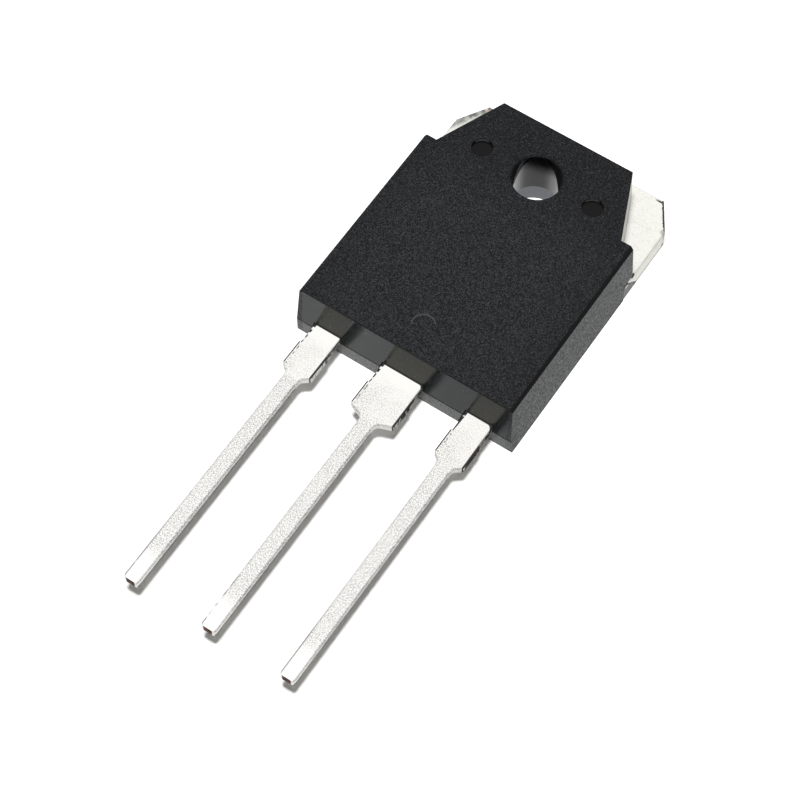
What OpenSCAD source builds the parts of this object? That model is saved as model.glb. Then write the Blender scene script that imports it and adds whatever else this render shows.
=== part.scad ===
// Power transistor in a moulded plastic package with a bare metal mounting header
// and three flat leads in one row.
// Millimetres. The origin is on the axis of the mounting hole, on the flat back.
// +Z points to the front face, -Y to the lead tips, +X to the emitter lead.

/* [Moulded body] */
// Width across the sides, at the back
body_w = 15.6; // [15.4:0.1:17]
// Length from the lead end to the top of the neck, at the parting line
body_l = 18.7; // [18.2:0.1:20]
// Thickness from the back to the front face
body_t = 4.8; // [4.4:0.1:5.6]
// Draft of the walls, in degrees
draft = 3; // [1:0.5:5]
// Draft of the lead end below the parting line, in degrees
under_draft = 5.5; // [1:0.5:8]
// Distance from the lead end to the shoulders
shoulder_l = 14; // [13.6:0.1:14.6]
// Width of each shoulder beside the neck
shoulder_w = 1; // [0.6:0.05:1.6]
// How far each flank of the neck draws in towards its top
neck_draw = 2; // [1:0.1:2.8]
// Width of the bevel along each side of the front face
bevel_w = 0.18; // [0.05:0.01:0.4]
// Height of that bevel
bevel_h = 0.3; // [0.1:0.05:0.6]

/* [Mounting hole] */
// Diameter of the hole in the plastic
hole_d = 3.2; // [2.8:0.1:3.5]
// Diameter of the wider hole in the header behind it
header_hole_d = 3.6; // [3.5:0.1:4.4]
// Distance from the lead end to the hole's axis
hole_l = 14.9; // [14.4:0.1:15.4]
// Width of the chamfer at the front mouth
mouth_w = 0.1; // [0.02:0.02:0.3]

/* [Pin marks on the front face] */
// Diameter of the two dimples beside the hole
dimple_d = 1.4; // [1:0.1:1.8]
// Depth of those dimples
dimple_h = 0.2; // [0.05:0.05:0.4]
// Distance between their centres
dimple_pitch = 8; // [7:0.1:8.4]
// Diameter of the shallow ring mark near the leads
mark_d = 1.45; // [1:0.05:2]
// Depth of that mark
mark_h = 0.06; // [0.02:0.02:0.2]
// Distance from the lead end to that mark
mark_l = 2.18; // [1.5:0.01:3]

/* [Header] */
// Thickness of the header
header_t = 1.5; // [1.2:0.1:2]
// Width of the plastic beside the header
header_wall = 1; // [0.6:0.05:1.5]
// Distance from the lead end to the header's hidden end
header_inset = 2.9; // [2.7:0.1:3.4]
// How far the tab's sides stand in from the sides of the plastic
tab_inset = 0.05; // [0:0.01:0.3]
// Distance from the lead end to where the header widens into the tab
tab_l = 13; // [12.4:0.1:13.4]
// Length of the tab beyond the neck
tab_over = 1.2; // [0.6:0.1:2]
// Width of the corner cuts of the tab
tab_cut_w = 1.25; // [0.5:0.05:2]
// Length of the corner cuts of the tab
tab_cut_l = 2; // [1:0.1:2.6]
// Width of the step round the back edge that locks the header in the plastic
lock_w = 0.3; // [0.1:0.05:0.5]
// Height of that step
lock_h = 0.7; // [0.4:0.05:0.9]

/* [Leads] */
// Distance between the centre lines of neighbouring leads
lead_pitch = 5.45; // [5:0.05:5.8]
// Thickness of the leads
lead_t = 0.6; // [0.4:0.05:0.8]
// Height of the underside of the leads, which is also the parting line
lead_z = 1.4; // [1:0.05:1.8]
// Length of the leads outside the body
lead_l = 20; // [12:0.5:24]
// Width of the slender part
lead_w = 1; // [0.8:0.05:1.3]
// Width of the wide part of the outer leads
outer_w = 1.9; // [1.5:0.05:2.5]
// Width of the wide part of the centre lead
centre_w = 2.9; // [2.3:0.05:3.3]
// Length of the wide part outside the body
wide_l = 3.25; // [2:0.05:5]
// Length of the taper from wide to slender
taper_l = 0.4; // [0.2:0.05:0.8]
// Length of the stubs that the cut tie bar leaves at the taper's end of the wide part
stub_l = 1.75; // [0.8:0.05:1.9]
// How far those stubs stand out at each side
stub_out = 0.08; // [0.02:0.01:0.2]
// Radius where the taper meets the slender part
root_r = 0.4; // [0.1:0.05:0.6]
// Cut across the corners of the tips
tip_cut = 0.12; // [0.04:0.02:0.3]
// Length of the step that lifts the centre lead off the header
joggle_l = 0.9; // [0.5:0.05:1.2]

/* [Bond posts inside the plastic] */
// Distance from the lead end to the posts
post_inset = 1; // [0.6:0.05:1.1]
// Gap between the posts and the header
post_gap = 0.45; // [0.3:0.05:0.6]
// How far a post reaches from its lead's centre line towards the middle
post_in = 3.1; // [2.2:0.1:3.2]
// How far a post reaches past its lead's edge on the other side
post_out = 0.25; // [0.1:0.05:0.5]
// Radius of a post's corners
post_r = 0.3; // [0.1:0.05:0.4]
// Diameter of the resin lock hole in each outer lead
lock_hole_d = 0.7; // [0.4:0.05:0.9]

/* [Die and bond wires] */
// Side of the square silicon die
die_w = 5; // [3.5:0.1:6.5]
// Thickness of the die
die_t = 0.28; // [0.2:0.01:0.4]
// Thickness of the solder under the die
solder_t = 0.07; // [0.04:0.01:0.12]
// Width of the solder's rim round the die
solder_rim = 0.25; // [0.1:0.05:0.5]
// Distance from the lead end to the die's centre
die_l = 7.4; // [6.6:0.1:8]
// Diameter of the base bond wire
base_wire_d = 0.25; // [0.15:0.05:0.35]
// Diameter of the emitter bond wires
emitter_wire_d = 0.4; // [0.25:0.05:0.5]
// Height of the wire loops over their feet
loop_h = 1.25; // [0.8:0.05:1.5]
// Length of a wire's foot
foot_l = 0.9; // [0.6:0.05:1.1]
// Distance of the bonds from the edges of the die
bond_inset = 1; // [0.7:0.1:1.4]
// Distance of the first bond from a post's inner edge
post_bond_inset = 0.5; // [0.4:0.05:0.8]
// Distance between the two emitter bonds
bond_pitch = 1.1; // [0.7:0.1:1.4]

/* [Hidden] */
$fn = 64;
epoxy = [0.16, 0.165, 0.175];
tin = [0.86, 0.86, 0.84];
solder = [0.6, 0.6, 0.62];
silicon = [0.32, 0.34, 0.42];
aluminium = [0.78, 0.79, 0.8];

// How far a shape that is cut away reaches past what it cuts
past = 1;
lean = tan(draft);
// Widths that follow the body's
neck_w = body_w - 2 * shoulder_w;
header_w = body_w - 2 * header_wall;
tab_w = body_w - 2 * tab_inset;
// Places along Y
end_y = -hole_l;
top_y = end_y + body_l;
shoulder_y = end_y + shoulder_l;
tab_y = end_y + tab_l;
tab_top_y = top_y + tab_over;
header_y = end_y + header_inset;
wide_y = end_y - wide_l;
stub_y = wide_y + stub_l;
slender_y = wide_y - taper_l;
tip_y = end_y - lead_l;
die_y = end_y + die_l;
post_y = end_y + post_inset;
post_end_y = header_y - post_gap;
post_mid_y = (post_y + post_end_y) / 2;
// Places along Z
lead_top = lead_z + lead_t;
die_z = header_t + solder_t;
die_top = die_z + die_t;

function mirrored(points) =
    concat(points, [for (i = [len(points) - 1 : -1 : 0]) [-points[i][0], points[i][1]]]);

// Outline in the YZ plane, carried h along X and centred on it
module along_x(h) { rotate([90, 0, 90]) linear_extrude(h, center = true) children(); }

// Outline in the XZ plane, carried h along Y from y
module along_y(y, h) { translate([0, y + h, 0]) rotate([90, 0, 0]) linear_extrude(h) children(); }

// What lies between a corner at p and a circle of radius r that touches both its edges,
// whose directions away from p are the angles a and b. Its own tip is past the corner.
module corner_web(p, a, b, r, h) {
    half = abs(b - a) / 2;
    reach = r / tan(half);
    inward = [cos((a + b) / 2), sin((a + b) / 2)];
    centre = p + r / sin(half) * inward;
    linear_extrude(h) difference() {
        polygon([p - r * inward, p + reach * [cos(a), sin(a)], centre, p + reach * [cos(b), sin(b)]]);
        translate(centre) circle(r);
    }
}

// The same as a cut through a plate of thickness h that stands on z = 0
module corner_cut(p, a, b, r, h) {
    translate([0, 0, -past]) corner_web(p, a, b, r, h + 2 * past);
}

// The block between the shoulders and the lead end, with drafted walls and bevelled sides
module body_block() {
    half = body_w / 2;
    bevel_half = half - (body_t - bevel_h) * lean;
    intersection() {
        along_x(body_w + past)
            polygon([[end_y + lead_z * tan(under_draft), 0], [end_y, lead_z],
                     [end_y + (body_t - lead_z) * lean, body_t],
                     [shoulder_y - (body_t - header_t) * lean, body_t],
                     [shoulder_y, header_t], [tab_y, header_t], [tab_y, 0]]);
        along_y(end_y - past, shoulder_l + 2 * past)
            polygon(mirrored([[half, 0], [bevel_half, body_t - bevel_h],
                              [bevel_half - bevel_w, body_t]]));
    }
}

// The neck over the tab: both flanks taper to the top and lean in by the draft
module neck() {
    root = 0.5;
    intersection() {
        along_x(neck_w + 2 * past)
            polygon([[shoulder_y - root, header_t], [top_y, header_t],
                     [top_y - (body_t - header_t) * lean, body_t], [shoulder_y - root, body_t]]);
        inside_flank();
        mirror([1, 0, 0]) inside_flank();
    }
}

// All that lies on the inner side of the neck's right flank
module inside_flank() {
    rise = body_t - header_t;
    translate([neck_w / 2, shoulder_y, header_t])
        rotate([0, 0, atan2(neck_draw, top_y - shoulder_y)])
            along_y(-2 * past, body_l)
                polygon([[-body_w, 0], [0, 0], [-rise * lean, rise], [-body_w, rise]]);
}

module moulded_body() {
    color(epoxy) difference() {
        union() {
            body_block();
            neck();
        }
        translate([0, 0, header_t - past]) cylinder(d = hole_d, h = body_t + past);
        translate([0, 0, body_t - mouth_w])
            cylinder(d1 = hole_d, d2 = hole_d + 2 * mouth_w, h = mouth_w);
        for (side = [-1, 1])
            translate([side * dimple_pitch / 2, 0, body_t - dimple_h])
                cylinder(d = dimple_d, h = dimple_h + past);
        translate([0, end_y + mark_l, body_t - mark_h]) cylinder(d = mark_d, h = mark_h + past);
        header_with_collector_lead();
        base_lead();
        emitter_lead();
        die_solder();
        silicon_die();
        base_bond_wire();
        emitter_bond_wire(0);
        emitter_bond_wire(1);
    }
}

// Header outline from above; inset draws in the edges that the plastic grips
module header_outline(inset = 0) {
    polygon(mirrored([[header_w / 2 - inset, header_y + inset], [header_w / 2 - inset, tab_y],
                      [tab_w / 2, tab_y], [tab_w / 2, tab_top_y - tab_cut_l],
                      [tab_w / 2 - tab_cut_w, tab_top_y]]));
}

// A lead from its tip to its root at root_y, as a plate of thickness h
module lead_plate(wide_w, root_y, h) {
    wide = wide_w / 2;
    stub = wide + stub_out;
    slim = lead_w / 2;
    linear_extrude(h)
        polygon(mirrored([[slim - tip_cut, tip_y], [slim, tip_y + tip_cut], [slim, slender_y],
                          [stub, wide_y], [stub, stub_y], [wide, stub_y], [wide, root_y]]));
    for (side = [0, 1]) mirror([side, 0, 0])
        corner_web([slim, slender_y], -90, atan2(taper_l, stub - slim), root_r, h);
}

// One stamping from a strip of two thicknesses: the header, and the collector lead,
// which steps up from the header's top to the height of the other leads
module header_with_collector_lead() {
    color(tin) {
        difference() {
            union() {
                linear_extrude(lock_h) header_outline(lock_w);
                translate([0, 0, lock_h]) linear_extrude(header_t - lock_h) header_outline();
            }
            translate([0, 0, -past]) cylinder(d = header_hole_d, h = header_t + 2 * past);
        }
        intersection() {
            lead_plate(centre_w, header_y + past, lead_top);
            along_x(centre_w + past) collector_side();
        }
    }
}

// The collector lead from the side
module collector_side() {
    step_y = header_y - (header_inset - joggle_l) / 3;
    polygon([[header_y + past, header_t], [step_y, header_t], [step_y - joggle_l, lead_top],
             [tip_y, lead_top], [tip_y, lead_z], [step_y - joggle_l, lead_z],
             [step_y, header_t - lead_t], [header_y + past, header_t - lead_t]]);
}

// An outer lead with its bond post; side is -1 for base and 1 for emitter
module outer_lead(side) {
    color(tin) translate([side * lead_pitch, 0, lead_z]) mirror([side > 0 ? 1 : 0, 0, 0])
        difference() {
            union() {
                lead_plate(outer_w, post_y + post_r, lead_t);
                bond_post();
            }
            translate([0, end_y + post_inset / 2, -past])
                cylinder(d = lock_hole_d, h = lead_t + 2 * past);
        }
}

// The base lead's post, which reaches towards the middle of the package
module bond_post() {
    outside = outer_w / 2 + post_out;
    difference() {
        translate([-outside, post_y, 0]) cube([outside + post_in, post_end_y - post_y, lead_t]);
        corner_cut([post_in, post_y], 90, 180, post_r, lead_t);
        corner_cut([post_in, post_end_y], 180, 270, post_r, lead_t);
        corner_cut([-outside, post_end_y], -90, 0, post_r, lead_t);
        corner_cut([-outside, post_y], 0, 90, post_r, lead_t);
    }
}

module base_lead() { outer_lead(-1); }

module emitter_lead() { outer_lead(1); }

module die_solder() {
    side = die_w + 2 * solder_rim;
    color(solder) translate([-side / 2, die_y - side / 2, header_t]) cube([side, side, solder_t]);
}

module silicon_die() {
    color(silicon) translate([-die_w / 2, die_y - die_w / 2, die_z]) cube([die_w, die_w, die_t]);
}

// A wire of diameter d from the die at a to a post at b: a round loop between two feet
// that the bonding tool has flattened
module bond_wire(a, b, d) {
    span = norm(b - a);
    loop_r = (span * span / 4 + loop_h * loop_h) / (2 * loop_h);
    half_turn = asin(span / 2 / loop_r);
    color(aluminium) translate(a) rotate([0, 0, atan2(b[1] - a[1], b[0] - a[0])]) difference() {
        union() {
            translate([span / 2, 0, die_top - d / 2 + loop_h - loop_r])
                rotate([90, 0, 0]) rotate([0, 0, 90 - half_turn])
                    rotate_extrude(angle = 2 * half_turn) translate([loop_r, 0]) circle(d = d);
            wire_foot([0, 0, die_top], d);
            wire_foot([span, 0, lead_top], d);
        }
        translate([-span / 2, -span / 2, die_top - span]) cube(span);
        translate([span / 2, -span / 2, lead_top - span]) cube(span);
    }
}

// A flattened foot at p, with its round ends, before it is cut off level with its pad
module wire_foot(p, d) {
    foot_w = 1.4 * d;
    for (end = [-1, 1])
        translate(p + [end * (foot_l - foot_w) / 2, 0, -d / 2]) cylinder(d = foot_w, h = d);
    translate(p - [(foot_l - foot_w) / 2, foot_w / 2, d / 2]) cube([foot_l - foot_w, foot_w, d]);
}

// Bond i of a post, counted from its inner edge; side is -1 for base and 1 for emitter
function post_bond(side, i) =
    [side * (lead_pitch - post_in + post_bond_inset + i * bond_pitch), post_mid_y];

module base_bond_wire() {
    bond_wire([-die_w / 2 + bond_inset, die_y - die_w / 2 + bond_inset], post_bond(-1, 1),
              base_wire_d);
}

module emitter_bond_wire(i) {
    bond_wire([die_w / 2 - bond_inset - (1 - i) * bond_pitch, die_y], post_bond(1, i),
              emitter_wire_d);
}

module emitter_bond_wire_1() { emitter_bond_wire(0); }

module emitter_bond_wire_2() { emitter_bond_wire(1); }

moulded_body();
header_with_collector_lead();
base_lead();
emitter_lead();
die_solder();
silicon_die();
base_bond_wire();
emitter_bond_wire_1();
emitter_bond_wire_2();
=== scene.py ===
"""Looks of the power transistor: stamped and tinned leads and header, and a moulded body.

Lengths are in millimetres here and become metres when a mesh is made. The axes are the
part's own: origin on the hole's axis on the flat back, +Z out of the front face, -Y towards
the lead tips.
"""

import math

import bpy
import numpy as np
from mathutils import Matrix


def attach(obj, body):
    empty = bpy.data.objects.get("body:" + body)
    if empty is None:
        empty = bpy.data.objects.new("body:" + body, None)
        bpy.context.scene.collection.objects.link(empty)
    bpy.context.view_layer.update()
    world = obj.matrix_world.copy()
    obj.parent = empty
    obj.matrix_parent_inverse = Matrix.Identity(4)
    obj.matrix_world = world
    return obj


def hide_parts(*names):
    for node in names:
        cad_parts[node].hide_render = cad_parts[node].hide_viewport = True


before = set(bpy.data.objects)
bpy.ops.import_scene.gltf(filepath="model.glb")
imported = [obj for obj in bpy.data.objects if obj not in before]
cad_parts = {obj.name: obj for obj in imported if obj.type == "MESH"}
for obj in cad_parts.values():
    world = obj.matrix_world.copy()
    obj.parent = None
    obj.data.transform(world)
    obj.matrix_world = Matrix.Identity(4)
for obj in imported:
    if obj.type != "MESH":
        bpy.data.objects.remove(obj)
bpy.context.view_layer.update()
MM = 0.001

# Sizes of the moulding, which the solids have too
END_Y = -14.9  # lead end, at the parting line
BODY_T = 4.8
PARTING = 1.4  # also the underside of the leads
END_DRAFT = math.tan(math.radians(5.5))  # of the end wall below the parting line
FRONT_HALF = 7.375  # half width of the front face between its bevels
BEVEL_H = 0.3
CHAMFER = 0.1
MOUTH_R = 1.7  # the screw hole with its chamfer
DIMPLE_X, DIMPLE_R, DIMPLE_DEPTH = 4.0, 0.7, 0.2
MARK_Y, MARK_R = -12.72, 0.725

# Sizes of the leads, which the solids have too; all widths are half widths
PITCH = 5.45
LEAD_TOP = 2.0
TIP_Y = -34.9
WIDE_Y = -18.15  # where the taper ends and the wide part begins
STUB_Y = -16.4  # where the stub of the tie bar ends
TAPER = 0.4
SLIM = 0.5
OUTER_WIDE, CENTRE_WIDE = 0.95, 1.45
STUB_OUT = 0.08
TIP_R, ROOT_R = 0.2, 0.4
POST_Y, POST_END_Y = -13.9, -12.45
POST_INNER, POST_OUTER, POST_R = 3.1, 1.2, 0.3
JOG_LENGTH = 0.9  # of the centre lead's step down to the header

# Sizes of the header, which the solids have too
HEADER_T = 1.5
HEADER_HALF = 6.8
HEADER_END_Y = -12.0
HEADER_HOLE_R = 1.8
TAB_HALF = 7.75
TAB_Y = -1.9
TAB_TOP_Y = 5.0
CUT_X, CUT_Y = 1.25, 2.0  # the tab's cut corners
LOCK, LOCK_H = 0.3, 0.7  # the step round the back edge that the plastic grips

# The scene's own values
GUARD = 0.03  # how far a guard point stands in from a rolled edge
HOLE_BURR = 0.05
LAMP = (13.5, -53.0, 300.0)
MIDDLE = (0.0, -15.0, 0.0)


# Camera, lamp, surroundings and floor


def camera():
    """The photograph's camera: it looks down from 60.6 degrees up and 32.7 degrees to the right of
    the leads' side, with a slight roll. Its axis meets the plane of the leads' tops 1.5 mm in
    front of the moulding. Backwards is (sin a cos e, -cos a cos e, sin e)."""
    azimuth, elevation, roll = np.radians([32.747, 60.575, 0.991])
    flat = math.cos(elevation)
    back = np.array([math.sin(azimuth) * flat, -math.cos(azimuth) * flat, math.sin(elevation)])
    right = np.array([math.cos(azimuth), math.sin(azimuth), 0.0])
    up = np.cross(back, right)
    right, up = (
        math.cos(roll) * right + math.sin(roll) * up,
        math.cos(roll) * up - math.sin(roll) * right,
    )
    data = bpy.data.cameras.new("camera")
    data.lens, data.sensor_width = 113.13, 36.0
    data.clip_start, data.clip_end = 0.01, 10.0
    obj = bpy.data.objects.new("camera", data)
    bpy.context.scene.collection.objects.link(obj)
    place = np.eye(4)
    place[:3, :3] = np.array([right, up, back]).T
    place[:3, 3] = np.array([40.668, -78.363, 132.528]) * MM
    obj.matrix_world = Matrix(place.tolist())
    bpy.context.scene.camera = obj


def softbox(size, power):
    """A square area lamp at LAMP that points to the middle of the part; size is in metres."""
    data = bpy.data.lights.new("softbox", "AREA")
    data.size, data.energy = size, power
    obj = bpy.data.objects.new("softbox", data)
    bpy.context.scene.collection.objects.link(obj)
    back = np.array(LAMP) - MIDDLE
    back = back / np.linalg.norm(back)
    right = np.cross([0, 1, 0], back)
    right = right / np.linalg.norm(right)
    place = np.eye(4)
    place[:3, :3] = np.array([right, np.cross(back, right), back]).T
    place[:3, 3] = np.array(LAMP) * MM
    obj.matrix_world = Matrix(place.tolist())


# Shader maths


class Value:
    """A shader socket that takes part in Python sums; each operation adds a Math node."""

    def __init__(self, nodes, socket):
        self.nodes, self.socket = nodes, socket

    def math(self, operation, *others):
        inputs = dict(enumerate((self,) + others))
        return self.nodes.node("Math", {"operation": operation}, inputs)

    def __add__(self, other):
        return self.math("ADD", other)

    def __mul__(self, other):
        return self.math("MULTIPLY", other)

    def __sub__(self, other):
        return self.math("SUBTRACT", other)

    def __rsub__(self, other):
        return self.nodes.node("Math", {"operation": "SUBTRACT"}, {0: other, 1: self})

    def __truediv__(self, other):
        return self.math("DIVIDE", other)

    def __neg__(self):
        return 0 - self

    def __abs__(self):
        return self.math("ABSOLUTE")

    __radd__ = __add__
    __rmul__ = __mul__

    def least(self, other):
        return self.math("MINIMUM", other)

    def most(self, other):
        return self.math("MAXIMUM", other)

    def step(self, low, high):
        """0 up to low and 1 from high on, with a smooth rise between; low may be the larger one."""
        settings = {"interpolation_type": "SMOOTHSTEP", "clamp": True}
        if low > high:
            return 1 - self.step(high, low)
        return self.nodes.node("MapRange", settings, {0: self, 1: low, 2: high, 3: 0.0, 4: 1.0})


class Nodes:
    """The nodes of one material or of the world."""

    def __init__(self, owner):
        owner.use_nodes = True
        self.owner = owner
        self.tree = owner.node_tree
        self.tree.nodes.clear()

    def node(self, kind, settings=None, inputs=None, out=0):
        """A node of that kind: its settings first, then its inputs. The result is the output
        with that name or number, or nothing where out is None."""
        made = self.tree.nodes.new("ShaderNode" + kind)
        for key, value in (settings or {}).items():
            setattr(made, key, value)
        for key, value in (inputs or {}).items():
            if isinstance(value, Value):
                self.tree.links.new(value.socket, made.inputs[key])
            else:
                made.inputs[key].default_value = value
        return None if out is None else Value(self, made.outputs[out])

    def parts(self, vector):
        """The three parts of a vector."""
        return [self.node("SeparateXYZ", None, {0: vector}, out=part) for part in "XYZ"]

    def place(self):
        """The point on the piece in millimetres, as a vector and as its three parts."""
        point = self.node("TexCoord", out="Object")
        point = self.node("VectorMath", {"operation": "SCALE"}, {0: point, 3: 1 / MM})
        return (point, *self.parts(point))

    def rays(self):
        """Two masks: the camera's rays, and those that were mirrored or passed through."""
        kinds = ("Is Camera Ray", "Is Glossy Ray", "Is Transmission Ray")
        seen, glossy, through = (self.node("LightPath", out=kind) for kind in kinds)
        return seen, glossy.most(through)

    def noise(self, point, scale, detail=2.0, roughness=0.5):
        """Smooth noise about 0.5 with that many waves to a millimetre."""
        inputs = {"Vector": point, "Scale": scale, "Detail": detail, "Roughness": roughness}
        return self.node("TexNoise", None, inputs)

    def stretched(self, point, scales):
        """The point with each part multiplied, for a pattern that is drawn out one way."""
        return self.node("VectorMath", {"operation": "MULTIPLY"}, {0: point, 1: scales})

    def mix(self, factor, first, second):
        """A colour between two colours, each a triple or a socket. A Mix node's colours are its
        inputs 6 and 7 and its output 2."""
        first, second = (c if isinstance(c, Value) else (*c, 1.0) for c in (first, second))
        inputs = {0: factor, 6: first, 7: second}
        return self.node("Mix", {"data_type": "RGBA"}, inputs, out=2)

    def bump(self, height, strength, distance):
        """A normal that shows the height, from 0 to 1, as a relief of distance millimetres."""
        inputs = {"Height": height, "Strength": strength, "Distance": distance * MM}
        return self.node("Bump", None, inputs)

    def surface(self, inputs):
        return self.node("BsdfPrincipled", None, inputs)

    def finish(self, kind, shader):
        """Gives the shader to an output node of that kind, and returns the material."""
        self.node(kind, None, {0: shader}, out=None)
        return self.owner


def squares(a, b):
    """The square of the distance whose two parts are a and b."""
    return a * a + b * b


def radius(a, b):
    """The distance whose two parts are a and b."""
    return squares(a, b).math("SQRT")


def back_left(x, y):
    """How far a point lies along the unit vector (-0.54, 0.84), which points to the back left."""
    return y * 0.84 - x * 0.54


def grey(level):
    """A neutral grey in linear light."""
    return (level, level, level)


# Materials of the moulding


def front_shade(n, point, x, y, z, grain, points, smooth):
    """The colour of the front face: grain with brighter points, both fading towards the neck
    and the sides, and near black where smooth is set, on the polished dimples and the bevel.
    A painted highlight: a pale arc on the back left of the circle near the lead end and of
    each dimple's rim."""
    off = abs(x)
    cloud = n.noise(point, 1.1, 2.0, 0.5)
    neck = y.step(-4.5, 0.5)
    tone = (1 - neck * 0.5) * (1 - off.step(5.0, 7.4) * 0.3) * (0.8 + cloud * 0.4)
    bright_points = points.step(0.61, 0.67) * (7.0 - neck * 4.5)
    speck = (grain.step(0.45, 0.69) * 0.95 + bright_points) * tone
    shade = n.mix(speck, (0.003, 0.0032, 0.0038), (0.051, 0.053, 0.057))
    shade = n.mix(smooth, shade, grey(0.001))
    # Painted highlight: a pale arc on the back left of the circle near the lead end.
    circle_highlight = abs(radius(x, y - MARK_Y) - MARK_R).step(0.035, 0.015)
    circle_highlight = circle_highlight * back_left(x, y - MARK_Y).step(-0.1, 0.4)
    shade = n.mix(circle_highlight * 0.45, shade, (0.24, 0.25, 0.25))
    dimple = radius(off - DIMPLE_X, y)
    # Painted highlight: a pale arc on the back left of each dimple's rim.
    rim = dimple.step(DIMPLE_R - 0.03, DIMPLE_R - 0.01)
    rim = rim * dimple.step(DIMPLE_R + 0.03, DIMPLE_R + 0.01) * z.step(BODY_T - 0.02, BODY_T - 0.04)
    rim = rim * back_left((off - DIMPLE_X) * x.math("SIGN"), y).step(0.5, 0.62)
    return n.mix(rim, shade, grey(0.11))


def lead_reflection(x, z, end):
    """Painted reflection of the leads in the end wall: a band above each lead, slanting as it
    rises.
    """
    slant = abs(x - (z - LEAD_TOP) * 0.304)
    reflection_band = abs(slant - PITCH).step(OUTER_WIDE + 0.02, OUTER_WIDE - 0.02)
    reflection_band = reflection_band.most(slant.step(CENTRE_WIDE + 0.02, CENTRE_WIDE - 0.02))
    return reflection_band * end * z.step(LEAD_TOP - 0.1, LEAD_TOP)


def wall_lines(x, z, end, side):
    """Dark lines on the walls: the parting line at the lead end, a wedge about each lead's left
    edge that narrows as it rises, and painted shade in a line along the bottom, where the
    walls meet the floor."""
    wedge = abs(x + (PITCH + OUTER_WIDE)).least(abs(x + CENTRE_WIDE))
    wedge = wedge.least(abs(x - (PITCH - OUTER_WIDE))) + z * 0.25
    wedge = wedge.step(0.59, 0.55) * z.step(2.12, 2.06) * end
    # Painted shade: a dark line along the bottom of the end and side walls, where they meet the
    # floor.
    foot_shade = z.step(0.09, 0.04) * end.most(side) * 0.8
    return (abs(z - (PARTING + 0.02)).step(0.055, 0.04) * end).most(wedge).most(foot_shade)


def moulding_material():
    """Black moulding compound: a matt front face with polished dimples, smoother walls with a
    rougher and paler strip below the parting line at the lead end, and a glossy bore. Light is
    painted on it: pale arcs as painted highlights on the dimples' rims and the circle near the
    lead end, a painted reflection of the leads on the end wall, painted shade along the bottom
    of the walls, painted light in part of the strip's paleness, and painted shade where the end
    wall turns duller towards the right and where the bore's sides are made duller."""
    n = Nodes(bpy.data.materials.new("moulding compound"))
    point, x, y, z = n.place()
    off, across = abs(x), radius(x, y)
    grain = n.noise(point, 14.7, 2.0, 0.7)
    points = n.noise(point, 16.15, 1.0, 0.5)

    # Where each finish lies
    bevel_z = BODY_T - BEVEL_H
    bevel = off.step(FRONT_HALF, FRONT_HALF + 0.015) * z.step(bevel_z - 0.01, bevel_z + 0.01)
    bore = 1 - across.step(MOUTH_R - 0.02, MOUTH_R)
    polished = 1 - radius(off - DIMPLE_X, y).step(DIMPLE_R - 0.01, DIMPLE_R + 0.01)
    chamfer = z.step(BODY_T - CHAMFER - 0.02, BODY_T - CHAMFER)
    front = z.step(BODY_T - DIMPLE_DEPTH - 0.02, BODY_T - DIMPLE_DEPTH)
    matt = (front * (1 - bore * (1 - chamfer))).most(bevel)
    side = off.step(7.3, 7.4)
    end = y.step(END_Y + 0.9, END_Y + 0.6)
    below = z.step(PARTING, PARTING - 0.03)
    below = below * (y - END_Y - (PARTING - z) * END_DRAFT).step(0.06, 0.03)
    reflection_band = lead_reflection(x, z, end)
    lines = wall_lines(x, z, end, side)
    facing = abs(back_left(x, y) / across)

    # Colour
    wall_speck = grain.step(0.4, 0.7) * (0.3 + side * 0.7)
    wall = n.mix(wall_speck, (0.003, 0.006, 0.008), (0.018, 0.023, 0.026))
    # The strip's pale grey is partly its rough finish and partly painted light from the white floor
    # it faces.
    wall = n.mix(below * (0.3 + 1.1 * grain.step(0.42, 0.6)), wall, (0.33, 0.34, 0.34))
    # Painted reflection: the leads mirrored in the end wall, darker and olive.
    wall = n.mix(reflection_band * 0.8, wall, (0.024, 0.0232, 0.014))
    wall = n.mix(lines, wall, grey(0.002))
    wall = n.mix(points.step(0.7, 0.76), wall, grey(0.2))
    wall = n.mix(bore, wall, (0.002, 0.002, 0.0022))
    shade = front_shade(n, point, x, y, z, grain, points, polished.most(bevel))
    colour = n.mix(matt, wall, shade)

    # The matt shader shows on the front face, and in part on the walls: on dull patches of the
    # sides, on the painted reflection of the leads, across the end wall more towards the right, and
    # on the sides of the bore. Across the end wall and in the bore it is painted shade.
    matt_shader = n.surface({
        "Base Color": colour,
        "Roughness": 0.8 - polished * 0.5,
        "Specular IOR Level": 0.15,
        "Normal": n.bump(grain * (1 - polished), 0.5, 0.03),
    })
    wall_shader = n.surface({
        "Base Color": colour,
        "Roughness": (0.16 + below * 0.35 + side * 0.15) * (1 - bore * 0.7),
        "Specular IOR Level": 0.38,
        # Painted shade: the bore's coat is thinner back and front, along the line to the back left.
        "Coat Weight": bore * (1 - facing.step(0.75, 0.95) * 0.8),
        "Coat Roughness": 0.05,
        "Normal": n.bump(grain * (1 - bore), 0.15, 0.02),
    })
    patches = n.noise(point, 7.0, 2.0, 0.6).step(0.35, 0.65)
    shown = matt.most(lines).most(side * patches * 0.7)
    # Painted shade: the end wall grows duller, and so darker, towards the right.
    shown = shown.most(reflection_band * 0.5).most(end * x.step(-6.0, 7.0) * 0.3)
    # Painted shade: the bore shows the matt shader, and so turns dark, above a line that falls to
    # the bottom at its sides.
    shown = shown.most(bore * (z - facing * 5.63).step(-0.05, 0.1))
    shader = n.node("MixShader", None, {0: shown, 1: wall_shader, 2: matt_shader})
    return n.finish("OutputMaterial", shader)


# Materials of the leads and the header


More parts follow.
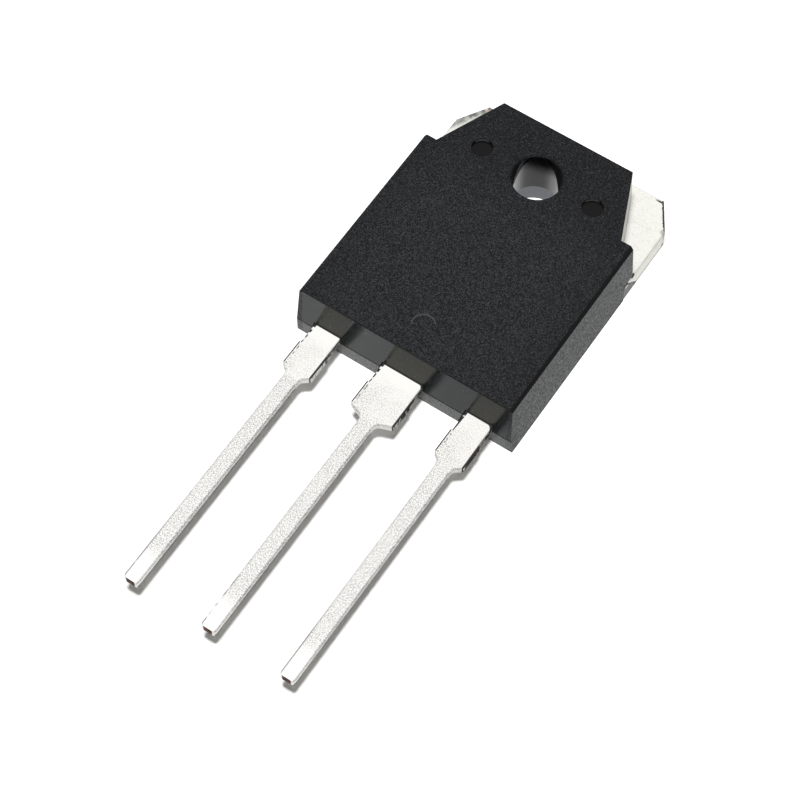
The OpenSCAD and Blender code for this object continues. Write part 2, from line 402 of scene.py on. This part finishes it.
def tab_marks(n, point, x, y, z):
    """Marks on the tab, as three masks. The first is dark: the sheared corner on the right with
    a dark line beside it along the top edge, painted shade in a fine line round the bottom of
    the sides, a stain on the left, and the cracks in the resin. The second is torn resin over
    the tab's ends at the shoulders, and the third a pink spot. The distance beyond the cut
    corner is along that corner's own outward normal."""
    cut = math.hypot(CUT_X, CUT_Y)
    beyond = (abs(x) - TAB_HALF) * (CUT_Y / cut) + (y - (TAB_TOP_Y - CUT_Y)) * (CUT_X / cut)
    patchy = n.noise(point, 2.5, 1.0, 0.5)
    ragged = n.noise(point, 6.0, 1.0, 0.5)

    shear = (beyond + ragged * 0.12).step(-0.1, -0.07) * x.step(0.0, 1.0) * patchy.step(0.3, 0.4)
    # A dark line beside the top edge on the right.
    top_edge_line = abs(y - 4.77).step(0.08, 0.05) * x.step(5.9, 6.3) * x.step(7.0, 6.9)
    shear = shear.most(top_edge_line) * y.step(2.9, 3.1) * z.step(HEADER_T - 0.15, HEADER_T - 0.1)
    # Painted shade: a fine dark line round the bottom of the tab's sides.
    foot_shade = z.step(0.17, 0.1) * y.step(TAB_Y - 0.2, TAB_Y) * 0.8

    edge = y + z * 0.9 + 0.15 + ragged * 0.3
    end_face = abs(x).step(TAB_HALF - 0.15, TAB_HALF - 0.07)
    crack = edge.step(0.17, 0.13) * edge.step(-0.1, -0.05) * ragged.step(0.42, 0.48)
    chip = squares(y + 0.85, z - 1.45).step(0.04, 0.03)
    crack = crack.most(chip) * end_face
    streak = abs(z - 1.2).step(0.1, 0.07) * y.step(-1.38, -1.42) * y.step(-1.78, -1.72)
    over = edge.step(0.15, 0.1) * (1 - streak) * end_face

    stain = beyond.step(-0.75, -0.2) * x.step(0.0, -1.0) * (0.6 + patchy.step(0.35, 0.65) * 0.4)
    corner = squares(x - 7.68, y - 2.95).step(0.1, 0.02) * patchy.step(0.3, 0.6)
    spot = squares(x + 6.42, y - 4.8).step(0.012, 0.006)
    pink = squares(x + 6.6, y - 4.72).step(0.03, 0.01)
    stain = stain.most(corner * 0.6).most(spot) * (1 - pink)
    return shear.most(foot_shade).most(stain * 0.85).most(crack), over, pink


def left_burr(n, point, x, y, left_x, gaps):
    """The dark burr along the left edge of the wide part and the dots beside it, as two masks.
    The burr is whole on the stub, and near the moulding it is dashes that widen by 0.06 mm to
    a millimetre, with more gaps where gaps is larger."""
    beyond = left_x - x
    on_stub = y.step(WIDE_Y - 0.02, WIDE_Y + 0.05) * y.step(STUB_Y + 0.02, STUB_Y - 0.02)
    near = y.step(STUB_Y - 0.02, STUB_Y + 0.02) * y.step(END_Y + 0.3, END_Y + 0.1)
    thick = (y - STUB_Y) * 0.06 + 0.09
    dashes = n.noise(n.stretched(point, (0.0, 1.0, 0.0)), 4.5, 0.0, 0.5).step(gaps, gaps + 0.03)
    burr = (beyond + (0.07 - STUB_OUT)).step(-0.02, 0.0) * on_stub
    burr = burr.most((beyond + thick).step(-0.02, 0.0) * near * dashes)
    dots = abs(beyond + 0.11).step(0.05, 0.02) * on_stub
    return burr, dots * n.noise(point, 5.0, 1.0, 0.5).step(0.5, 0.58)


def root_resin(x, y, right_x, flash):
    """Black resin at a lead's root: a thin line along the moulding, and flash over the right
    corner, outside a quarter circle whose radius is flash."""
    over_x = (x - (right_x - flash)).most(0.0)
    over_y = (y - (END_Y - flash)).most(0.0)
    corner = radius(over_x, over_y).step(flash - 0.03, flash)
    joint = y.step(END_Y - 0.04, END_Y - 0.02) * y.step(END_Y + 0.3, END_Y + 0.1)
    return joint.most(corner * y.step(TAB_Y - 3, TAB_Y - 4))


def dark_edges(n, colour, x, y, z, middle_x, specks, broad):
    """The colour with a lead's edges darkened: broken rims along the top of the slender part,
    painted shade in a line along the bottom of its sides, beside the shadow below, and a
    speckled grey band high on the sides of the whole lead, fainter on the slender part."""
    slim = y.step(WIDE_Y - 0.8, WIDE_Y - 1.0)
    left_rim = ((middle_x - SLIM + 0.1) - x).step(-0.02, 0.01) * broad.step(0.3, 0.5)
    left_rim = left_rim * (0.3 + y.step(TIP_Y + 6, TIP_Y + 2) * 0.6)
    right_rim = (x - (middle_x + SLIM - 0.07)).step(-0.03, 0.01) * z.step(1.85, 1.9) * 0.7
    rim = left_rim.most(right_rim * specks.step(0.65, 0.45))
    colour = n.mix(rim * slim * 0.9, colour, (0.22, 0.22, 0.23))
    # Painted shade: a dark line along the bottom of the slender part's sides.
    foot_shade = z.step(1.62, 1.56) * (abs(x - middle_x) - SLIM).step(-0.07, -0.03)
    colour = n.mix(foot_shade * slim * 0.9, colour, (0.04, 0.04, 0.036))
    # A speckled grey band high on the sides, fainter on the slender part.
    smear = z.step(1.66, 1.74) * z.step(LEAD_TOP - 0.02, LEAD_TOP - 0.08)
    smear = smear * y.step(END_Y, END_Y - 0.1) * (1 - slim * 0.6)
    return n.mix(smear * specks.step(0.6, 0.4) * 0.6, colour, (0.3, 0.3, 0.29))


def tin_material(name, middle_x, wide, flash, gaps, dull=0.0, on_tab=False):
    """Matt tin plate on a lead or on the header: near white, with grey specks where it is worn.
    They are denser away from the moulding, towards the left edge and on the slender part, and
    thin out beside the moulding, at the tip and on the tab. A dull lead has more of them and a
    greyer wide part. The edge of the header's hole is painted a smooth grey, as painted
    shade. The resin over the tab's ends is smoother than the tin."""
    n = Nodes(bpy.data.materials.new(name))
    point, x, y, z = n.place()
    specks = n.noise(point, 13.0, 2.0, 0.7)
    broad = n.noise(point, 1.3, 2.0, 0.5)

    # Wear
    left = (x - middle_x) * (-1.0 / wide)
    far = y.step(END_Y - 0.3, END_Y - 2.6)
    slender = y.step(WIDE_Y - 0.4, WIDE_Y - 0.9) * y.step(TIP_Y + 1, TIP_Y + 3)
    tab = y.step(TAB_Y - 2.1, TAB_Y - 0.1)
    root = y.step(END_Y - 1.6, END_Y - 0.4) * y.step(END_Y + 2, END_Y)
    clean = y.step(TIP_Y + 3, TIP_Y + 1).most(tab * 0.3).most(root * (0.8 - dull * 0.4))
    dense = 0.26 + 0.5 * far * (0.6 + 0.4 * left) + broad.step(0.4, 0.7) * 0.3
    dense = dense + slender * 0.45 + (1 - slender) * (dull * 0.15)
    worn = specks.step(0.57, 0.38) * dense * (1 - clean)

    # Colour
    colour = n.mix(slender * 0.6, (0.955, 0.947, 0.912), (0.94, 0.937, 0.917))
    colour = n.mix(tab, colour, (0.92, 0.913, 0.861))
    colour = n.mix((1 - slender) * (dull * 0.1), colour, (0.86, 0.852, 0.82))
    colour = n.mix(worn, colour, (0.49, 0.47, 0.46))
    colour = dark_edges(n, colour, x, y, z, middle_x, specks, broad)
    burr, dots = left_burr(n, point, x, y, middle_x - wide, gaps)
    resin = root_resin(x, y, middle_x + wide, flash)
    # Painted shade: the edge of the header's hole is painted a smooth grey.
    hole_shade = 1 - radius(x, y).step(1.84, 1.88)
    smooth = hole_shade
    if on_tab:
        marks, over, pink = tab_marks(n, point, x, y, z)
        resin = resin.most(over)
        smooth = hole_shade.most(over * 0.7 * (1 - marks))
    colour = n.mix(burr.most(dots * 0.8).most(resin), colour, grey(0.01))
    if on_tab:
        colour = n.mix(pink * 0.6, colour, (0.7, 0.35, 0.25))
        colour = n.mix(marks, colour, grey(0.02))
    colour = n.mix(hole_shade, colour, (0.18, 0.187, 0.2))

    # The sides are the most metallic
    lead_sides = z.step(LEAD_TOP - 0.02, LEAD_TOP - 0.1) * y.step(END_Y, END_Y - 0.1)
    sides = z.step(HEADER_T - 0.02, HEADER_T - 0.3).most(lead_sides)
    shader = n.surface({
        "Base Color": colour,
        "Metallic": (1 - burr.most(resin)) * sides.most(0.1) * 0.75,
        "Roughness": (0.6 + worn * 0.2) * (1 - smooth * 0.7),
        "Normal": n.bump(specks * (1 - hole_shade), 0.35, 0.02),
    })
    return n.finish("OutputMaterial", shader)


def cut_material(name, light, dark, copper, share):
    """The sheared side of the wide part: black along its top, then grooves across the thickness
    between a light and a dark metal, with more light ones where share is larger and fewer
    towards the moulding, and bare copper in patches. Beyond the stub the grooves run along the
    lead."""
    n = Nodes(bpy.data.materials.new(name))
    point, _, y, z = n.place()
    grooves = n.noise(n.stretched(point, (1.0, 1.0, 0.15)), 7.0, 2.0, 0.6)
    drawn = n.noise(n.stretched(point, (1.0, 0.3, 1.6)), 5.0, 2.0, 0.6)
    near = y.step(STUB_Y - 0.03, STUB_Y + 0.03)
    bright = (grooves + y.step(STUB_Y, WIDE_Y) * 0.12 + (share - 0.56)).step(0.46, 0.58)
    bright = bright * (1 - near) + drawn.step(0.54, 0.6) * near
    bare = n.noise(point, 2.2, 2.0, 0.5).step(0.5, 0.6) * y.step(WIDE_Y + 0.9, STUB_Y)
    colour = n.mix(bright, dark, light)
    colour = n.mix(bare * (1 - near) * 0.8, colour, copper)
    colour = n.mix(z.step(LEAD_TOP - 0.14, LEAD_TOP - 0.1) * (1 - near), colour, grey(0.006))
    shader = n.surface({
        "Base Color": colour,
        "Metallic": bright * 0.4,
        "Roughness": 0.8 - bright * 0.3,
        "Specular IOR Level": 0.1,
        "Normal": n.bump(grooves, 0.5, 0.03),
    })
    return n.finish("OutputMaterial", shader)


def tip_material():
    """The cut end of a lead: dark brown copper above, smeared with tin below."""
    n = Nodes(bpy.data.materials.new("cut tip"))
    point, _, _, z = n.place()
    smear = n.noise(n.stretched(point, (1.0, 1.0, 0.3)), 5.0, 2.0, 0.6)
    tin = (z + smear * 0.2).step(1.6, 1.54)
    copper = n.mix(smear.step(0.35, 0.65), (0.006, 0.002, 0.001), (0.17, 0.05, 0.012))
    shader = n.surface({
        "Base Color": n.mix(tin, copper, (0.3, 0.25, 0.22)),
        "Metallic": 0.2,
        "Roughness": 0.5,
        "Specular IOR Level": 0.05,
        "Normal": n.bump(smear, 0.5, 0.03),
    })
    return n.finish("OutputMaterial", shader)


def plain_metal(name, dark, light, roughness, scale):
    """A metal inside the moulding, with slight cloudy variation between two colours."""
    n = Nodes(bpy.data.materials.new(name))
    cloud = n.noise(n.place()[0], scale, 2.0, 0.5)
    shader = n.surface({
        "Base Color": n.mix(cloud, dark, light),
        "Metallic": 1.0,
        "Roughness": roughness + cloud * 0.1,
        "Normal": n.bump(cloud, 0.1, 0.02),
    })
    return n.finish("OutputMaterial", shader)


# Shapes


def loft(rings, wrap=False):
    """Quads join the points rings[i, j] of neighbouring rings, with j running round each ring.
    The first and last rings are closed by flat faces, or with wrap joined to each other."""
    n, m = rings.shape[:2]
    index = np.arange(n * m).reshape(n, m)
    if wrap:
        index = np.vstack([index, index[:1]])
    beside = np.roll(index, -1, axis=1)
    faces = np.stack([index[:-1], index[1:], beside[1:], beside[:-1]], -1).reshape(-1, 4).tolist()
    if not wrap:
        faces += [index[0].tolist(), index[-1, ::-1].tolist()]
    return rings.reshape(-1, 3), faces


def outwards(points, faces):
    """The faces, turned round if the volume they enclose comes out negative. The volume is a
    sixth of the sum over their triangles of a . (b x c)."""
    triangles = np.array([[f[0], f[k], f[k + 1]] for f in faces for k in range(1, len(f) - 1)])
    a, b, c = (points[triangles[:, k]] for k in range(3))
    six_volumes = np.einsum("ij,ij->i", a, np.cross(b, c)).sum()
    return faces if six_volumes > 0 else [f[::-1] for f in faces]


def piece(name, shells, nodes, materials):
    """One object from closed shells, each with points in millimetres, faces and the material
    number of each face. It stands for those nodes."""
    points, faces, numbers, count = [], [], [], 0
    for shell_points, shell_faces, shell_numbers in shells:
        points.append(shell_points)
        faces += [[i + count for i in face] for face in outwards(shell_points, shell_faces)]
        numbers += list(shell_numbers)
        count += len(shell_points)
    mesh = bpy.data.meshes.new(name)
    mesh.from_pydata((np.vstack(points) * MM).tolist(), [], faces)
    mesh.polygons.foreach_set("material_index", np.array(numbers, dtype=np.int32))
    mesh.polygons.foreach_set("use_smooth", np.ones(len(faces), dtype=bool))
    for material in materials:
        mesh.materials.append(material)
    mesh.update()
    mesh.set_sharp_from_angle(angle=math.radians(35))
    obj = bpy.data.objects.new(name, mesh)
    bpy.context.scene.collection.objects.link(obj)
    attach(obj, "root")
    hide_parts(*nodes)


def quarter(count):
    """That many angles from 0 to a right angle, in radians."""
    return np.radians(np.linspace(0, 90, count))


def strip_section(count=5):
    """Round a flat strip's section, with that many points to each rounded corner: which side
    (1 or -1), which level (0 back, 1 front), how far along each corner (the share of the
    radius that is left across and upwards), and how far a guard point stands in on the flat."""
    turn = quarter(count)
    reach, rise = np.append(0, np.sin(turn)), np.append(1, np.cos(turn))
    guard = np.append(GUARD, np.zeros(count))
    sides = np.repeat([1, 1, -1, -1], count + 1)
    levels = np.repeat([0, 1, 1, 0], count + 1)
    orders = [slice(None), slice(None, None, -1)] * 2
    reach, rise, guard = (np.concatenate([a[o] for o in orders]) for a in (reach, rise, guard))
    return sides, levels, reach, rise, guard


def strip(middle_x, stations):
    """A flat strip along Y: at each station (y, left width, right width, front roll, back roll,
    back height, front height) the section is a rectangle with rounded corners, so that
    x = side (width - roll (1 - reach)) and z = height -+ roll (1 - rise). Its side walls between
    the taper's end and the moulding have material 1, the face at the tip has material 2, and
    all other faces material 0."""
    side, level, reach, rise, guard = strip_section()
    s = np.asarray(stations, float)
    width = np.where(side > 0, s[:, 2:3], s[:, 1:2])
    roll = np.where(level > 0, s[:, 3:4], s[:, 4:5])
    x = middle_x + side * (width - roll * (1 - reach) - guard)
    z = np.where(level > 0, s[:, 6:7] - roll * (1 - rise), s[:, 5:6] + roll * (1 - rise))
    y = np.broadcast_to(s[:, :1], x.shape)
    points, faces = loft(np.stack([x, y, z], -1))
    corner = len(side) // 4
    across = np.arange(len(side))
    walls = (across == corner - 1) | (across == 3 * corner - 1)
    face_y = (s[:-1, 0] + s[1:, 0]) / 2
    cut = (face_y > WIDE_Y - 0.02) & (face_y < END_Y)
    numbers = np.append((cut[:, None] & walls).ravel() * 1, [2, 0])
    return points, faces, numbers


def lead_stations(wide):
    """Along the outside of a lead, from its tip to the moulding: y, half width, front roll and
    back roll. The tip's corners are quarter circles, the root of the slender part is an arc
    that meets the taper, and the stub of the cut tie bar stands out at the taper's end."""
    turn = quarter(5)
    tip = np.stack([TIP_Y + TIP_R * (1 - np.cos(turn)), SLIM - TIP_R + TIP_R * np.sin(turn)], 1)
    stub = wide + STUB_OUT
    slope = math.atan2(TAPER, stub - SLIM)
    bend = np.linspace(0, math.pi / 2 - slope, 6)
    root_y = WIDE_Y - TAPER - ROOT_R / math.tan((math.pi / 2 + slope) / 2)
    root = np.stack([root_y + ROOT_R * np.sin(bend), SLIM + ROOT_R * (1 - np.cos(bend))], 1)
    rest = [
        [WIDE_Y - 0.02, stub - 0.03, 0.03, 0.01],
        [WIDE_Y + 0.02, stub, 0.012, 0.01],
        [STUB_Y - 0.02, stub, 0.012, 0.01],
        [STUB_Y + 0.01, wide, 0.03, 0.01],
        [STUB_Y + 0.15, wide, 0.13, 0.03],
        [END_Y - 0.05, wide, 0.13, 0.03],
        [END_Y + 0.05, wide, 0.01, 0.01],
    ]
    tip = np.hstack([tip, np.tile([0.05, 0.03], (len(tip), 1))])
    root = np.hstack([root, np.tile([0.07, 0.03], (len(root), 1))])
    return np.vstack([tip, root, rest])


def even_stations(rows, drop):
    """Stations for strip() that are the same on both sides, from rows of y, half width and the
    two rolls, with the lead's heights lowered by drop at each row."""
    return np.column_stack([rows[:, [0, 1, 1, 2, 3]], PARTING - drop, LEAD_TOP - drop])


def outer_lead(name, side, materials):
    """A base or emitter lead with its bond post in the moulding, which reaches towards the
    middle. The post's four corners are quarter circles."""
    out = lead_stations(OUTER_WIDE)
    outside = even_stations(out, np.zeros(len(out)))
    turn = quarter(5)
    along, inset = POST_R * (1 - np.cos(turn)), POST_R * (1 - np.sin(turn))
    y = np.concatenate([POST_Y + along, (POST_END_Y - along)[::-1]])
    inset = np.concatenate([inset, inset[::-1]])
    inner, outer = POST_INNER - inset, POST_OUTER - inset
    left, right = (outer, inner) if side < 0 else (inner, outer)
    row = [0.01, 0.01, PARTING, LEAD_TOP]
    bridge = [[POST_Y - 0.002, OUTER_WIDE, OUTER_WIDE, *row]]
    inside = np.column_stack([y, left, right, np.tile(row, (len(y), 1))])
    shell = strip(side * PITCH, np.vstack([outside, bridge, inside]))
    piece(name, [shell], [name.removeprefix("tinned_")], materials)


def collector_shell():
    """The centre lead, which steps down inside the moulding to just under the header's top. Of
    the length there that the step leaves over, a third lies between the step and the header."""
    out = lead_stations(CENTRE_WIDE)
    low_y = HEADER_END_Y - (HEADER_END_Y - END_Y - JOG_LENGTH) / 3
    inside = [[y, CENTRE_WIDE, 0.01, 0.01] for y in (low_y - JOG_LENGTH, low_y, HEADER_END_Y + 1)]
    low = LEAD_TOP - HEADER_T + 0.005
    drop = np.concatenate([np.zeros(len(out) + 1), [low, low]])
    return strip(0, even_stations(np.vstack([out, inside]), drop))


def header_corners(inset):
    """The header's outline from above, counter-clockwise, with the edges that the plastic grips
    drawn in by the inset."""
    half = np.array([
        [HEADER_HALF - inset, HEADER_END_Y + inset],
        [HEADER_HALF - inset, TAB_Y],
        [TAB_HALF, TAB_Y],
        [TAB_HALF, TAB_TOP_Y - CUT_Y],
        [TAB_HALF - CUT_X, TAB_TOP_Y],
    ])
    return np.vstack([half, half[::-1] * [-1, 1]])


def header_shell():
    """The header plate as rings round its hole: each ring is the hole's circle or the outline,
    drawn in towards the material by the roll, at its own height. The outline's points and the
    hole's lie on the same rays from the hole's axis. Where edges with the unit normals n1 and
    n2 meet, the outline moves along (n1 + n2) / (1 + n1 . n2)."""
    corners = header_corners(0)
    lengths = np.linalg.norm(np.roll(corners, -1, 0) - corners, axis=1)
    counts = np.maximum(2, np.ceil(lengths / 0.4).astype(int))
    share = np.concatenate([np.arange(c) / c for c in counts])
    which = np.repeat(np.arange(len(corners)), counts)

    def spread(c):
        return c[which] + (np.roll(c, -1, 0)[which] - c[which]) * share[:, None]

    outline, locked = spread(corners), spread(header_corners(LOCK))
    ahead = np.roll(outline, -1, 0) - outline
    ahead /= np.linalg.norm(ahead, axis=1)[:, None]
    behind = np.roll(ahead, 1, 0)
    n1, n2 = (np.stack([d[:, 1], -d[:, 0]], 1) for d in (behind, ahead))
    mitre = (n1 + n2) / (1 + (n1 * n2).sum(1))[:, None]
    rays = outline / np.linalg.norm(outline, axis=1)[:, None]
    roll = 0.03 + 0.12 * np.clip((outline[:, 1] - TAB_Y) / 0.3, 0, 1)

    def ring(flat, z):
        return np.column_stack([flat, np.full(len(flat), 1.0) * z])

    def drawn_in(inset, z):
        return ring(outline - mitre * inset[:, None], z)

    hole_roll, back_roll = 0.06, 0.04
    rings = [
        ring(rays * (HEADER_HOLE_R - HOLE_BURR), 0),
        ring(rays * HEADER_HOLE_R, 0.1),
        ring(rays * HEADER_HOLE_R, HEADER_T - hole_roll),
        ring(rays * (HEADER_HOLE_R + hole_roll), HEADER_T),
        drawn_in(roll + GUARD, HEADER_T),
    ]
    for t in quarter(7):
        rings.append(drawn_in(roll * (1 - math.sin(t)), HEADER_T - roll * (1 - math.cos(t))))
    rings += [
        ring(outline, LOCK_H),
        ring(locked, LOCK_H),
        ring(locked, back_roll),
        ring(locked - mitre * back_roll, 0),
    ]
    points, faces = loft(np.stack(rings), wrap=True)
    return points, faces, [0] * len(faces)


def floor(size):
    """A large white floor just under the part. To lamplight its colour is plain. The camera sees
    white times the square of 1 + far, where far is the squared distance from under the lamp
    over the lamp's squared height, so that it is white apart from the part's shadow and shows
    no fall-off. Reflections see it lighter than plain."""
    mesh = bpy.data.meshes.new("floor")
    z = -0.01 * MM
    corners = [(-size, -size, z), (size, -size, z), (size, size, z), (-size, size, z)]
    mesh.from_pydata(corners, [], [(0, 1, 2, 3)])
    n = Nodes(bpy.data.materials.new("floor"))
    seen, mirrored = n.rays()
    _, x, y, _ = n.place()
    far = squares(x - LAMP[0], y - LAMP[1]) / LAMP[2] ** 2
    plain, white = 0.6, 1.22
    level = plain + seen * (white - plain + far * (far + 2.0) * white) + mirrored * 0.35
    mesh.materials.append(n.finish("OutputMaterial", n.node("BsdfDiffuse", None, {0: level})))
    obj = bpy.data.objects.new("floor", mesh)
    bpy.context.scene.collection.objects.link(obj)


def surroundings(level):
    """An even, weak and slightly warm light from all round. The camera sees it as white.
    Reflections see a white room that is dim above the front right of the part."""
    world = bpy.data.worlds.new("surroundings")
    bpy.context.scene.world = world
    n = Nodes(world)
    seen, mirrored = n.rays()
    x, y, up = n.parts(n.node("TexCoord", out="Generated"))
    dim = (-back_left(x, y)).step(0.0, 0.3) * up.step(0.2, 0.5)
    strength = seen.most(mirrored * (1 - dim * 0.65)).most(level)
    colour = n.mix(seen.most(mirrored), (1.0, 0.99, 0.89), (1.0, 1.0, 1.0))
    n.finish("OutputWorld", n.node("Background", None, {0: colour, 1: strength}))


# The scene


def dress(name, material):
    """Gives a CAD node its one material."""
    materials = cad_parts[name].data.materials
    materials.clear()
    materials.append(material)


camera()
bpy.context.scene.view_settings.view_transform = "Standard"
surroundings(0.08)
softbox(0.05, 0.875)
floor(1.5)

dress("moulded_body", moulding_material())

# For each lead: its middle and half width, the reach of the resin, and the gaps in its burr
base_tin = tin_material("tin on base lead", -PITCH, OUTER_WIDE, 0.12, 0.48)
emitter_tin = tin_material("tin on emitter lead", PITCH, OUTER_WIDE, 0.4, 0.3, dull=1.0)
header_tin = tin_material(
    "tin on header and collector lead", 0.0, CENTRE_WIDE, 0.3, 0.44, on_tab=True
)

# For each cut: its light metal, dark metal and copper, and the share of light grooves
base_cut = cut_material(
    "cut base lead", (0.95, 0.95, 0.92), (0.1, 0.1, 0.09), (0.2, 0.18, 0.16), 0.6
)
collector_cut = cut_material(
    "cut collector lead", (0.6, 0.6, 0.56), (0.02, 0.02, 0.018), (0.06, 0.055, 0.045), 0.5
)
emitter_cut = cut_material(
    "cut emitter lead", (0.75, 0.72, 0.66), (0.02, 0.014, 0.012), (0.2, 0.09, 0.08), 0.4
)
tip_cut = tip_material()

outer_lead("tinned_base_lead", -1, [base_tin, base_cut, tip_cut])
outer_lead("tinned_emitter_lead", 1, [emitter_tin, emitter_cut, tip_cut])
piece(
    "tinned_header",
    [header_shell(), collector_shell()],
    ["header_with_collector_lead"],
    [header_tin, collector_cut, tip_cut],
)

# Sealed in the moulding
wire = plain_metal("aluminium wire", (0.7, 0.71, 0.72), (0.8, 0.81, 0.82), 0.3, 8.0)
dress("die_solder", plain_metal("solder", (0.35, 0.35, 0.37), (0.5, 0.5, 0.52), 0.45, 3.0))
dress("silicon_die", plain_metal("silicon", (0.1, 0.11, 0.14), (0.14, 0.15, 0.19), 0.15, 2.0))
for wire_name in ("base_bond_wire", "emitter_bond_wire_1", "emitter_bond_wire_2"):
    dress(wire_name, wire)
